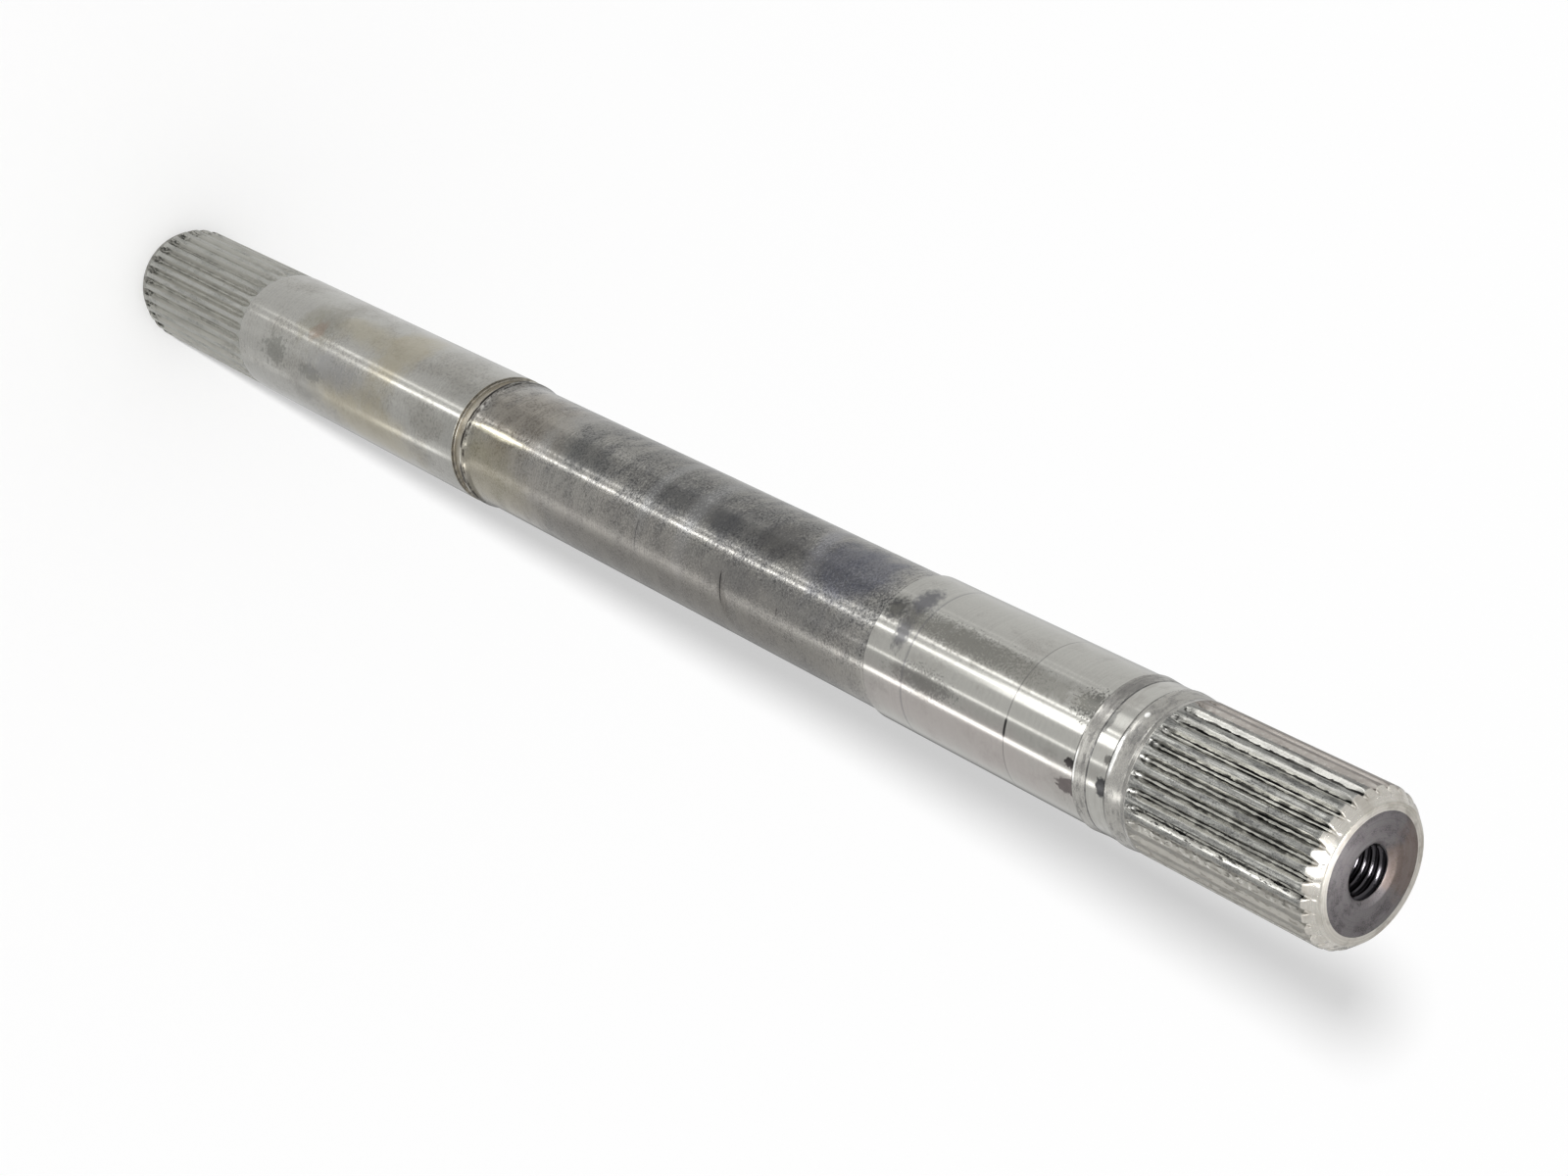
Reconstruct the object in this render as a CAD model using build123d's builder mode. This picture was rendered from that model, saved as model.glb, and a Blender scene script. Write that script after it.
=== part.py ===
from build123d import *
from math import acos, cos, degrees, radians, sin, sqrt, tan
import os

# Transmission input shaft: one piece of steel with an involute spline at each end.
# The axis is Z. The far end stands on Z = 0, and the near end, with the tapped hole, is up.
# Lengths are in millimetres and angles in degrees.

# Lengths along the axis, one after the other from the far end up
FAR_SPLINE_LENGTH = 59.6
FAR_JOURNAL_LENGTH = 106.9
GROOVE_WIDTH = 3.6
LIP_LAND = 0.8
BODY_LENGTH = 153.1
NEAR_JOURNAL_LENGTH = 62.7
TAPER_BAND_LENGTH = 3.45
PLAIN_BAND_LENGTH = 5.2
COLLAR_LENGTH = 5.25
NEAR_SPLINE_LENGTH = 46.9

# The ground journal's diameter, and the small radial steps from it to the other turned forms
FAR_JOURNAL_D = 33.0
GROOVE_DEPTH = 0.9
LIP_HEIGHT = 0.65
BODY_RELIEF = 0.7
NEAR_JOURNAL_RELIEF = 0.1
RIM_HEIGHT = 0.3
TAPER_BAND_RISE = 0.25
COLLAR_CROWN = 0.5
COLLAR_NECK_LENGTH = 1.1

# Edge radii and chamfers
LIP_FILLET_R = 8.0
GROOVE_CORNER_R = 0.35
RIM_EDGE_R = 0.2
BODY_STEP_CHAMFER = 0.3
NEAR_CHAMFER_LENGTH = 2.7
NEAR_CHAMFER_DEPTH = 2.3
FAR_CHAMFER_LENGTH = 3.5
FAR_CHAMFER_DEPTH = 1.4
JOURNAL_LEAD_IN = 1.0

# Involute splines, alike at both ends: 24/48 pitch, 30 degree pressure angle, flat root.
# Addendum and dedendum are in modules, and a phase is the polar angle of one tooth space.
TEETH = 30
SPLINE_MODULE = 25.4 / 24
PRESSURE_ANGLE = 30.0
ADDENDUM = 0.5
DEDENDUM = 0.675
FAR_SPLINE_PHASE = 264.0
NEAR_SPLINE_PHASE = 268.9

# The cutter leaves each spline on an arc, a little before the step that follows
RUNOUT_RADIUS = 4.2
RUNOUT_GAP = 0.2
CUTTER_OVERRUN = 0.5

# Hole in the near end, drilled for an M12 coarse thread
TAP_DRILL_D = 10.2
TAP_DRILL_DEPTH = 32.0
TAP_POINT_ANGLE = 118.0
TAP_MOUTH_D = 14.0
TAP_MOUTH_ANGLE = 120.0

# Lathe centre in the far end
CENTRE_DRILL_D = 3.15
CENTRE_DRILL_DEPTH = 7.0
CENTRE_POINT_ANGLE = 120.0
CENTRE_MOUTH_D = 6.7
CENTRE_MOUTH_ANGLE = 60.0

# Radii that follow from the sizes above
pitch_r = SPLINE_MODULE * TEETH / 2
base_r = pitch_r * cos(radians(PRESSURE_ANGLE))
spline_r = pitch_r + SPLINE_MODULE * ADDENDUM
root_r = pitch_r - SPLINE_MODULE * DEDENDUM
cutter_r = spline_r + CUTTER_OVERRUN
far_journal_r = FAR_JOURNAL_D / 2
groove_r = far_journal_r - GROOVE_DEPTH
body_r = far_journal_r - BODY_RELIEF
lip_r = body_r + LIP_HEIGHT
near_journal_r = far_journal_r - NEAR_JOURNAL_RELIEF
rim_r = near_journal_r + RIM_HEIGHT
taper_foot_r = rim_r - TAPER_BAND_RISE
neck_r = rim_r - COLLAR_CROWN

# Heights of the steps, from the far end up
groove_z = FAR_SPLINE_LENGTH + FAR_JOURNAL_LENGTH
lip_z = groove_z + GROOVE_WIDTH
body_z = lip_z + LIP_LAND
lip_fillet_z = body_z + sqrt(LIP_HEIGHT * (2 * LIP_FILLET_R - LIP_HEIGHT))
near_journal_z = body_z + BODY_LENGTH
taper_z = near_journal_z + NEAR_JOURNAL_LENGTH
plain_z = taper_z + TAPER_BAND_LENGTH
collar_z = plain_z + PLAIN_BAND_LENGTH
near_spline_z = collar_z + COLLAR_LENGTH
neck_z = near_spline_z - COLLAR_NECK_LENGTH
near_end_z = near_spline_z + NEAR_SPLINE_LENGTH


def arc_rise(drop: float) -> float:
    """Length along the axis in which the run-out arc climbs by a height."""
    return sqrt(drop * (2 * RUNOUT_RADIUS - drop))


def space_half_angle(radius: float) -> float:
    """Half the angle that a tooth space takes up at a radius, from the flank's involute."""
    at_pitch = radians(PRESSURE_ANGLE)
    at_radius = acos(base_r / radius)
    tooth_loss = degrees(tan(at_radius) - at_radius - tan(at_pitch) + at_pitch)
    return 90 / TEETH + tooth_loss


def flank_points(side: int) -> list[Vector]:
    """Three points of the involute on one side of a space, from the root out."""
    points = []
    for radius in (root_r, (root_r + cutter_r) / 2, cutter_r):
        angle = radians(side * space_half_angle(radius))
        points.append(Vector(radius * cos(angle), radius * sin(angle)))
    return points


def spline_space(spline_length: float) -> Part:
    """One tooth space on the +X side, from below Z = 0 up to where its run-out leaves the steel."""
    left, right = flank_points(1), flank_points(-1)
    tooth_height = spline_r - root_r
    straight = spline_length - RUNOUT_GAP - arc_rise(tooth_height)
    runout_angle = degrees(acos(1 - (cutter_r - root_r) / RUNOUT_RADIUS))
    cutter_axis = Axis((root_r + RUNOUT_RADIUS, 0, straight), (0, 1, 0))
    with BuildPart() as space:
        with BuildSketch(Plane.XY.offset(-CUTTER_OVERRUN)):
            with BuildLine():
                ThreePointArc(*left)
                ThreePointArc(left[0], (root_r, 0), right[0])
                ThreePointArc(*right)
                Line(right[2], left[2])
            make_face()
        extrude(amount=straight + CUTTER_OVERRUN)
        revolve(space.faces().sort_by(Axis.Z)[-1], axis=cutter_axis, revolution_arc=runout_angle)
    return space.part


def corner(sketch: Sketch, radius: float, height: float) -> Vertex:
    """The corner of the shaft's outline at a radius and a height."""
    return sketch.vertices().sort_by_distance((radius, height))[0]


def drilled_hole(mouth_d: float, mouth_angle: float, drill_d: float, depth: float,
                 point_angle: float) -> Part:
    """A drilled hole that goes down from Z = 0, with a cone at its mouth and at its bottom."""
    mouth_depth = (mouth_d - drill_d) / 2 / tan(radians(mouth_angle / 2))
    point_depth = drill_d / 2 / tan(radians(point_angle / 2))
    with BuildPart() as hole:
        with BuildSketch(Plane.XZ):
            with BuildLine():
                Polyline(
                    (0, 0),
                    (mouth_d / 2, 0),
                    (drill_d / 2, -mouth_depth),
                    (drill_d / 2, -depth),
                    (0, -depth - point_depth),
                    close=True,
                )
            make_face()
        revolve(axis=Axis.Z)
    return hole.part


far_space = spline_space(FAR_SPLINE_LENGTH)
near_space = spline_space(NEAR_SPLINE_LENGTH)
tapped_hole = drilled_hole(TAP_MOUTH_D, TAP_MOUTH_ANGLE, TAP_DRILL_D, TAP_DRILL_DEPTH, TAP_POINT_ANGLE)
lathe_centre = drilled_hole(
    CENTRE_MOUTH_D, CENTRE_MOUTH_ANGLE, CENTRE_DRILL_D, CENTRE_DRILL_DEPTH, CENTRE_POINT_ANGLE
)

with BuildPart() as input_shaft:
    # Turned blank: half of its outline, from the far end up, revolved about the axis
    with BuildSketch(Plane.XZ) as outline:
        with BuildLine():
            Polyline(
                (0, 0),
                (spline_r - FAR_CHAMFER_DEPTH, 0),
                (spline_r, FAR_CHAMFER_LENGTH),
                (spline_r, FAR_SPLINE_LENGTH),
                (far_journal_r, FAR_SPLINE_LENGTH + JOURNAL_LEAD_IN),
                (far_journal_r, groove_z),
                (groove_r, groove_z),
                (groove_r, lip_z),
                (lip_r, lip_z),
                (lip_r, body_z),
            )
            TangentArc((body_r, lip_fillet_z), (lip_r, body_z), tangent=(0, -1))
            Polyline(
                (body_r, lip_fillet_z),
                (body_r, near_journal_z),
                (near_journal_r, near_journal_z),
                (near_journal_r, taper_z),
                (rim_r, taper_z),
                (taper_foot_r, plain_z),
                (near_journal_r, plain_z),
                (near_journal_r, collar_z),
                (rim_r, collar_z),
            )
            TangentArc((rim_r, collar_z), (neck_r, neck_z), tangent=(0, 1))
            Polyline(
                (neck_r, neck_z),
                (spline_r, near_spline_z),
                (spline_r, near_end_z - NEAR_CHAMFER_LENGTH),
                (spline_r - NEAR_CHAMFER_DEPTH, near_end_z),
                (0, near_end_z),
                (0, 0),
            )
        make_face()
        fillet([corner(outline.sketch, groove_r, z) for z in (groove_z, lip_z)], GROOVE_CORNER_R)
        fillet([corner(outline.sketch, rim_r, z) for z in (taper_z, collar_z)], RIM_EDGE_R)
        chamfer(corner(outline.sketch, near_journal_r, near_journal_z), BODY_STEP_CHAMFER)
    revolve(axis=Axis.Z)

    # Tooth spaces of both splines
    with PolarLocations(0, TEETH, start_angle=FAR_SPLINE_PHASE):
        add(far_space, mode=Mode.SUBTRACT)
    with Locations((0, 0, near_end_z)):
        with PolarLocations(0, TEETH, start_angle=NEAR_SPLINE_PHASE):
            add(near_space, rotation=(180, 0, 0), mode=Mode.SUBTRACT)

    # Tapped hole in the near end, lathe centre in the far end
    with Locations((0, 0, near_end_z)):
        add(tapped_hole, mode=Mode.SUBTRACT)
    add(lathe_centre, rotation=(180, 0, 0), mode=Mode.SUBTRACT)

input_shaft.part.label = "input_shaft"

os.makedirs("parts", exist_ok=True)
export_step(input_shaft.part, "parts/input_shaft.step")
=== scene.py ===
"""Visual model of a used transmission input shaft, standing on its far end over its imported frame.

Lengths are in millimetres unless a name says otherwise, and become metres when a mesh is made.
Angles round the shaft, called phi, are in degrees: 0 is on the camera's side, and they grow towards -X.
"""
import logging
import math
from dataclasses import dataclass, field
from enum import Enum

import bpy
from mathutils import Matrix, Vector

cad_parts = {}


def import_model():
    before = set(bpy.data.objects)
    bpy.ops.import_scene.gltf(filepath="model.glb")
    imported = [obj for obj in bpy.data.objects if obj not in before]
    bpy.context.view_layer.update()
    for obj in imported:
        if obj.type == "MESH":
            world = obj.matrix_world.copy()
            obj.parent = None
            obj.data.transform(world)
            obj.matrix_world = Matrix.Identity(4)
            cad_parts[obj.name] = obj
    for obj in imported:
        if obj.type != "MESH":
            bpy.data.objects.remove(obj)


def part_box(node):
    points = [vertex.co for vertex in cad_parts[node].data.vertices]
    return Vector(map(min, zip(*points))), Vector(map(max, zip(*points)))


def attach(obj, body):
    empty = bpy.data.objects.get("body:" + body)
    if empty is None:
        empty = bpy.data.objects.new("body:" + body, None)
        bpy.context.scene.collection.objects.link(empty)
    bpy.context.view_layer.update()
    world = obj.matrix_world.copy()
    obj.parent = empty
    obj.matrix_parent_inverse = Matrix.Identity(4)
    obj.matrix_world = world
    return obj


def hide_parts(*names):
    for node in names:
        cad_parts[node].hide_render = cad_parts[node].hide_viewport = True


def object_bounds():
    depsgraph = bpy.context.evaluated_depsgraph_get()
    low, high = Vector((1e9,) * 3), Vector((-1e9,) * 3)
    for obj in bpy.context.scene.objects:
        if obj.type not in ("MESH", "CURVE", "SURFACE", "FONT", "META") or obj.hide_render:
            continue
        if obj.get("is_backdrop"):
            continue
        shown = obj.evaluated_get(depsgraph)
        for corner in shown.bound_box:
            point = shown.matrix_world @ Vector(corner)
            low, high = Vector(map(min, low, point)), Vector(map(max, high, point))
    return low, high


MM = 0.001
# How far two lengths and two heights may differ and still be the same
SLACK, HEIGHT_SLACK = 0.001, 0.01
# Largest share of a run of the outline that a broken edge takes
EDGE_MOST = 0.4
NODE = "input_shaft"

log = logging.getLogger("input_shaft")

Colour = tuple[float, float, float]
Point = tuple[float, float, float]


class Zone(Enum):
    """Parts of the shaft's surface that were finished, or wore, in their own way."""

    BORE = "tapped_hole"
    END_FACE = "near_end_face"
    FACE_RING = "near_face_ring"
    CHAMFER = "near_chamfer"
    NEAR_SPLINE = "near_spline"
    COLLAR = "collar"
    PLAIN_BAND = "plain_band"
    TAPER_BAND = "taper_band"
    NEAR_JOURNAL = "near_journal"
    BODY = "body"
    LIP = "lip"
    GROOVE = "groove"
    FAR_JOURNAL = "far_journal"
    FAR_SPLINE = "far_spline"
    FAR_CHAMFER = "far_chamfer"
    FAR_FACE = "far_end_face"


@dataclass
class SplineForm:
    """Involute teeth of both ends: 24/48 pitch, 30 degree pressure angle, flat root."""

    teeth: int = 30
    module: float = 25.4 / 24
    pressure_angle: float = 30.0
    addendum: float = 0.5
    dedendum: float = 0.675
    runout_radius: float = 4.2
    runout_gap: float = 0.2
    tip_round: float = 0.14
    root_round: float = 0.16
    tip_round_most: float = 0.38
    root_round_most: float = 0.3

    def __post_init__(self) -> None:
        """Works out the radii, the angle from tooth to tooth and the length of the run-out."""
        self.pitch_radius = self.module * self.teeth / 2
        self.tip_radius = self.pitch_radius + self.module * self.addendum
        self.root_radius = self.pitch_radius - self.module * self.dedendum
        self.pitch_angle = 360 / self.teeth
        to_axis = self.root_radius + self.runout_radius - self.tip_radius
        self.runout_length = math.sqrt(self.runout_radius ** 2 - to_axis ** 2)

    def half_space(self, radius: float) -> float:
        """Gives half the angle of a tooth space.

        Args:
            radius: where on the flank, from the shaft's axis.

        Returns:
            The angle in degrees, from the flank's involute.
        """
        at_pitch = math.radians(self.pressure_angle)
        at_radius = math.acos(self.pitch_radius * math.cos(at_pitch) / radius)
        loss = math.tan(at_radius) - at_radius - math.tan(at_pitch) + at_pitch
        return self.pitch_angle / 4 + math.degrees(loss)

    def wall_radius(self, height: float, past: float) -> float:
        """Gives the radius that a height above the bottom has reached, some way into the run-out."""
        reach = self.runout_radius - height
        return self.root_radius + self.runout_radius - math.sqrt(reach * reach - past * past)

    def open_height(self, radius: float, past: float) -> float:
        """Gives how deep a space is below an outline's radius, or less than 0 where there is none."""
        to_axis = self.root_radius + self.runout_radius - radius
        return self.runout_radius - math.hypot(to_axis, past)


def clamp(value: float) -> float:
    """Keeps a share between 0 and 1."""
    return max(0.0, min(1.0, value))


@dataclass(frozen=True)
class ThreadForm:
    """M12 coarse thread of the near end's hole, right-handed."""

    pitch: float = 1.75
    crest_radius: float = 5.1
    root_radius: float = 6.02
    depth: float = 27.0
    drill_depth: float = 32.0
    point_angle: float = 118.0
    mouth_radius: float = 7.0
    mouth_angle: float = 120.0
    crest_share: float = 0.12
    flank_share: float = 0.38
    columns: int = 96
    rows_per_pitch: int = 9

    @property
    def mouth_depth(self) -> float:
        """Depth of the cone at the mouth."""
        return (self.mouth_radius - self.crest_radius) / math.tan(math.radians(self.mouth_angle / 2))

    def radius(self, depth: float, turn: float) -> float:
        """Gives the wall's radius.

        Args:
            depth: distance below the near end's face.
            turn: angle round the hole, as a share of a full turn.

        Returns:
            The wall's distance from the axis: the mouth's cone, or the thread below it.
        """
        place = (depth / self.pitch + turn) % 1.0
        climb = (place - self.crest_share) / self.flank_share
        fall = (1.0 - place) / self.flank_share
        height = clamp(min(climb, fall))
        fade = clamp((self.depth - depth) / self.pitch)
        wall = self.crest_radius + (self.root_radius - self.crest_radius) * height * fade
        cone = self.mouth_radius - depth * math.tan(math.radians(self.mouth_angle / 2))
        return max(wall, cone)


@dataclass(frozen=True)
class Corner:
    """A corner of the turned outline, and the finish of the run that follows it downwards."""

    radius: float
    z: float
    zone: Zone
    edge: float = 0.12


@dataclass
class ShaftForm:
    """Sizes of the turned shaft, from its near end down."""

    length: float
    spline: SplineForm = field(default_factory=SplineForm)
    thread: ThreadForm = ThreadForm()
    near_spline_length: float = 46.9
    collar_length: float = 5.25
    collar_neck_length: float = 1.1
    plain_band_length: float = 5.2
    taper_band_length: float = 3.45
    near_journal_length: float = 62.7
    body_length: float = 153.1
    lip_land: float = 0.8
    groove_width: float = 3.6
    far_spline_length: float = 59.6
    journal_radius: float = 16.5
    near_journal_radius: float = 16.4
    rim_radius: float = 16.7
    taper_foot_radius: float = 16.45
    neck_radius: float = 16.2
    body_radius: float = 15.8
    lip_radius: float = 16.45
    groove_radius: float = 15.6
    lip_fillet: float = 8.0
    dark_face_radius: float = 12.43
    near_chamfer_length: float = 2.7
    near_chamfer_depth: float = 2.3
    far_chamfer_length: float = 3.5
    far_chamfer_depth: float = 1.4
    tooth_end_reach: float = 1.3
    tooth_end_wear: float = 0.2
    tooth_end_burr: float = 0.3
    journal_lead_in: float = 1.0
    step_chamfer: float = 0.3
    rim_width: float = 0.25
    foot_ramp: float = 0.1
    centre_mouth_radius: float = 3.35
    centre_drill_radius: float = 1.575
    centre_angle: float = 60.0
    centre_depth: float = 7.0
    centre_point: float = 0.9
    near_phase: float = 1.1
    far_phase: float = 6.0

    def __post_init__(self) -> None:
        """Works out the fillet's length and the heights of the steps, each named for what begins below."""
        self.near_spline_z = self.length - self.near_spline_length
        self.collar_z = self.near_spline_z - self.collar_length
        self.plain_z = self.collar_z - self.plain_band_length
        self.taper_z = self.plain_z - self.taper_band_length
        self.body_top_z = self.taper_z - self.near_journal_length
        self.lip_top_z = self.body_top_z - self.body_length
        self.lip_z = self.lip_top_z - self.lip_land
        self.groove_z = self.lip_z - self.groove_width
        rise = self.lip_radius - self.body_radius
        self.lip_fillet_length = math.sqrt(rise * (2 * self.lip_fillet - rise))


def lin(red: float, green: float, blue: float) -> Colour:
    """Turns a colour as a screen shows it, from 0 to 255, into linear light by the sRGB curve.

    Args:
        red: red as shown.
        green: green as shown.
        blue: blue as shown.

    Returns:
        The linear colour, each part from 0 to 1.
    """
    def part(shown: float) -> float:
        """Turns one part into linear light."""
        return ((shown / 255 + 0.055) / 1.055) ** 2.4 if shown > 10 else shown / 3294
    return (part(red), part(green), part(blue))


def place(radius: float, phi: float, z: float) -> Point:
    """Gives the frame's point in metres for a radius, an angle round the shaft and a height."""
    turn = math.radians(phi)
    return (-radius * math.sin(turn) * MM, -radius * math.cos(turn) * MM, z * MM)


def add_object(name: str, data: bpy.types.ID) -> bpy.types.Object:
    """Adds an object to the scene, with its mesh, camera or lamp as data."""
    made = bpy.data.objects.new(name, data)
    bpy.context.scene.collection.objects.link(made)
    return made


def rounded(corners: list[Corner]) -> list[Corner]:
    """Breaks each corner of an outline with a small arc of three points.

    Args:
        corners: the outline, of which the first and the last point stay as they are.

    Returns:
        The outline with its corners broken.
    """
    done = [corners[0]]
    for before, at, after in zip(corners, corners[1:], corners[2:]):
        if at.edge == 0:
            done.append(at)
            continue
        here = Vector((at.radius, at.z))
        back = Vector((before.radius, before.z)) - here
        on = Vector((after.radius, after.z)) - here
        first = here + back.normalized() * min(at.edge, EDGE_MOST * back.length)
        last = here + on.normalized() * min(at.edge, EDGE_MOST * on.length)
        middle = (first + last) / 4 + here / 2
        done.append(Corner(first.x, first.y, before.zone))
        done.append(Corner(middle.x, middle.y, at.zone))
        done.append(Corner(last.x, last.y, at.zone))
    done.append(corners[-1])
    return done


class Skin:
    """One closed mesh, made from rings that run from the hole's bottom over the outside to the far end."""

    FLAT_WEIGHT = 60

    def __init__(self) -> None:
        """Starts with no rings."""
        self.vertices: list[Point] = []
        self.faces: list[tuple[int, ...]] = []
        self.zones: list[Zone] = []
        self.last: list[int] = []
        self.last_zone = Zone.BORE

    def add(self, points: list[Point], zone: Zone) -> None:
        """Joins a ring to the one before it.

        Args:
            points: the next ring, whose count of points is the last one's, or divides it or is a multiple.
            zone: finish of the strip that follows it.
        """
        start = len(self.vertices)
        self.vertices.extend(points)
        new = list(range(start, len(self.vertices)))
        if self.last:
            made = self.strip(self.last, new)
            self.faces.extend(made)
            self.zones.extend([self.last_zone] * len(made))
        self.last, self.last_zone = new, zone

    @staticmethod
    def strip(old: list[int], new: list[int]) -> list[tuple[int, ...]]:
        """Fills the strip between two rings.

        Args:
            old: the vertices of one ring.
            new: the vertices of the other.

        Returns:
            Quads where the rings have as many points, and fans of triangles where they don't.
        """
        if len(old) < len(new):
            return [face[::-1] for face in Skin.strip(new, old)]
        count, share = len(old), len(old) // len(new)
        faces: list[tuple[int, ...]] = []
        for i in range(count):
            a, b = old[i], old[(i + 1) % count]
            c = new[i // share]
            if share == 1:
                faces.append((a, b, new[(i + 1) % count], c))
            else:
                faces.append((a, b, c))
                if len(new) > 1 and (i + 1) % share == 0:
                    faces.append((b, new[(i // share + 1) % len(new)], c))
        return faces

    def mesh(self, name: str, finishes: dict[Zone, bpy.types.Material]) -> bpy.types.Object:
        """Makes the Blender object.

        Args:
            name: the piece's name.
            finishes: the material of each zone.

        Returns:
            The object, with smooth shading that holds its flat faces flat.
        """
        mesh = bpy.data.meshes.new(name)
        mesh.from_pydata(self.vertices, [], self.faces)
        order = [zone for zone in Zone if zone in set(self.zones)]
        for zone in order:
            mesh.materials.append(finishes[zone])
        mesh.polygons.foreach_set("material_index", [order.index(zone) for zone in self.zones])
        mesh.update()
        mesh.shade_smooth()
        piece = add_object(name, mesh)
        piece.modifiers.new("held_normals", "WEIGHTED_NORMAL").weight = self.FLAT_WEIGHT
        return piece


class Shaft:
    """The whole shaft: its rings, from the hole's bottom to the far end's lathe centre."""

    # Steps in half a pitch where there are no teeth, and distance between the rings along the teeth
    HALF_STEPS = 8
    NEAR_ROW, FAR_ROW = 1.4, 4.0
    # Distance from the edge of the hole, of the lathe centre and of the chamfer to the next ring of a face
    HOLE_BORDER, CENTRE_BORDER, FACE_BORDER = 1.2, 4.0, 0.6
    # Rings at the tooth tips' radius: past a chamfer, at the near spline's inner end and below the far one's
    TOOTH_LEAD, SHOULDER, FAR_SHOULDER = 2.0, (0.15, -0.05), 0.12
    # Where rings lie along the chamfers, the run-outs, and the arcs of the collar and the lip
    CONE_SHARES = (0.0, 0.05, 0.12, 0.2, 0.3, 0.42, 0.56, 0.7, 0.85)
    CLIMB_SHARES = (0.15, 0.3, 0.45, 0.6, 0.72, 0.83, 0.92, 1.0)
    ARC_SHARES = (0.85, 0.65, 0.45, 0.25)

    def __init__(self, form: ShaftForm) -> None:
        """Takes the sizes.

        Args:
            form: the shaft's sizes.
        """
        self.form = form
        self.spline = form.spline
        self.skin = Skin()
        self.near_runout = form.near_spline_z + self.spline.runout_gap + self.spline.runout_length
        self.far_runout = form.far_spline_length - self.spline.runout_gap - self.spline.runout_length

    def phase(self, z: float) -> float:
        """Gives the first space's angle at a height: the near spline's, the far one's, or a mix between."""
        share = clamp((self.near_runout - z) / (self.near_runout - self.far_runout))
        return self.form.near_phase + share * (self.form.far_phase - self.form.near_phase)

    def end_wear(self, z: float) -> float:
        """Gives how far the handling wear of the tooth ends has gone.

        Args:
            z: height of the ring.

        Returns:
            The share, which is 1 on the chamfers and 0 from a reach past them.
        """
        form = self.form
        to_near, to_far = form.length - form.near_chamfer_length - z, z - form.far_chamfer_length
        return clamp(1 - min(to_near, to_far) / form.tooth_end_reach)

    def half_section(self, radius: float, z: float) -> list[tuple[float, float]]:
        """Gives half a tooth and half a space of one ring.

        Args:
            radius: the turned outline's radius at the ring.
            z: height of the ring.

        Returns:
            Nine pairs of an angle from the space's middle and a radius, from the tooth's middle on.
        """
        spline, half = self.spline, self.spline.pitch_angle / 2
        past = max(0.0, self.near_runout - z if z > self.form.collar_z else z - self.far_runout)
        height = spline.open_height(radius, past)
        if past > spline.runout_length + SLACK or height < -HEIGHT_SLACK:
            return [(half * (1 - i / self.HALF_STEPS), radius) for i in range(self.HALF_STEPS + 1)]
        height = max(height, 0.0)
        worn = self.end_wear(z)
        burr = 1 - self.form.tooth_end_burr * worn
        tip = min(spline.tip_round + self.form.tooth_end_wear * worn, spline.tip_round_most * height)
        root = min(spline.root_round, spline.root_round_most * height)
        corner = burr * spline.half_space(spline.root_radius + height)
        land = corner + math.degrees(tip / radius)
        steps = [height - tip, (height - tip + root) / 2, root]
        flank = [
            (burr * spline.half_space(spline.root_radius + step), spline.wall_radius(step, past))
            for step in steps
        ]
        floor = burr * spline.half_space(spline.root_radius) - math.degrees(root / spline.root_radius)
        bottom = spline.wall_radius(0.0, past)
        brow = ((land + 2 * corner + flank[0][0]) / 4, (3 * radius + flank[0][1]) / 4)
        lands = [(half, radius), ((half + land) / 2, radius), (land, radius), brow]
        return [*lands, *flank, (floor, bottom), (0.0, bottom)]

    def ring(self, radius: float, z: float, zone: Zone) -> None:
        """Adds a ring of the outside, with teeth where the shaft has them.

        Args:
            radius: the turned outline's radius.
            z: height of the ring.
            zone: finish of the strip below the ring.
        """
        section = self.half_section(radius, z)
        points = []
        for tooth in range(self.spline.teeth):
            centre = self.phase(z) + tooth * self.spline.pitch_angle
            for offset, distance in section:
                points.append(place(distance, centre - offset, z))
            for offset, distance in section[-2:0:-1]:
                points.append(place(distance, centre + offset, z))
        self.skin.add(points, zone)

    def circle(self, radius: float, z: float, zone: Zone, columns: int) -> None:
        """Adds a plain round ring, as in the holes.

        Args:
            radius: the ring's radius, where 0 is one point on the axis.
            z: height of the ring.
            zone: finish of the strip after the ring.
            columns: number of points.
        """
        if radius == 0:
            self.skin.add([(0.0, 0.0, z * MM)], zone)
            return
        start = self.phase(z) - self.spline.pitch_angle / 2
        turns = (start + 360 * column / columns for column in range(columns))
        self.skin.add([place(radius, turn, z) for turn in turns], zone)

    def tapped_hole(self) -> None:
        """Adds the hole in the near end, from the drill's point up to its mouth."""
        thread, top = self.form.thread, self.form.length
        point = thread.crest_radius / math.tan(math.radians(thread.point_angle / 2))
        self.circle(0, top - thread.drill_depth - point, Zone.BORE, 1)
        self.circle(thread.crest_radius, top - thread.drill_depth, Zone.BORE, thread.columns)
        self.circle(thread.crest_radius, top - thread.depth - thread.pitch, Zone.BORE, thread.columns)
        start = self.phase(top) - self.spline.pitch_angle / 2
        rows = round(thread.depth / thread.pitch * thread.rows_per_pitch)
        for row in range(rows + 1):
            depth = thread.depth * (1 - row / rows)
            points = []
            for column in range(thread.columns):
                turn = column / thread.columns
                points.append(place(thread.radius(depth, turn), start + 360 * turn, top - depth))
            self.skin.add(points, Zone.BORE if depth > thread.mouth_depth else Zone.END_FACE)

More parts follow.
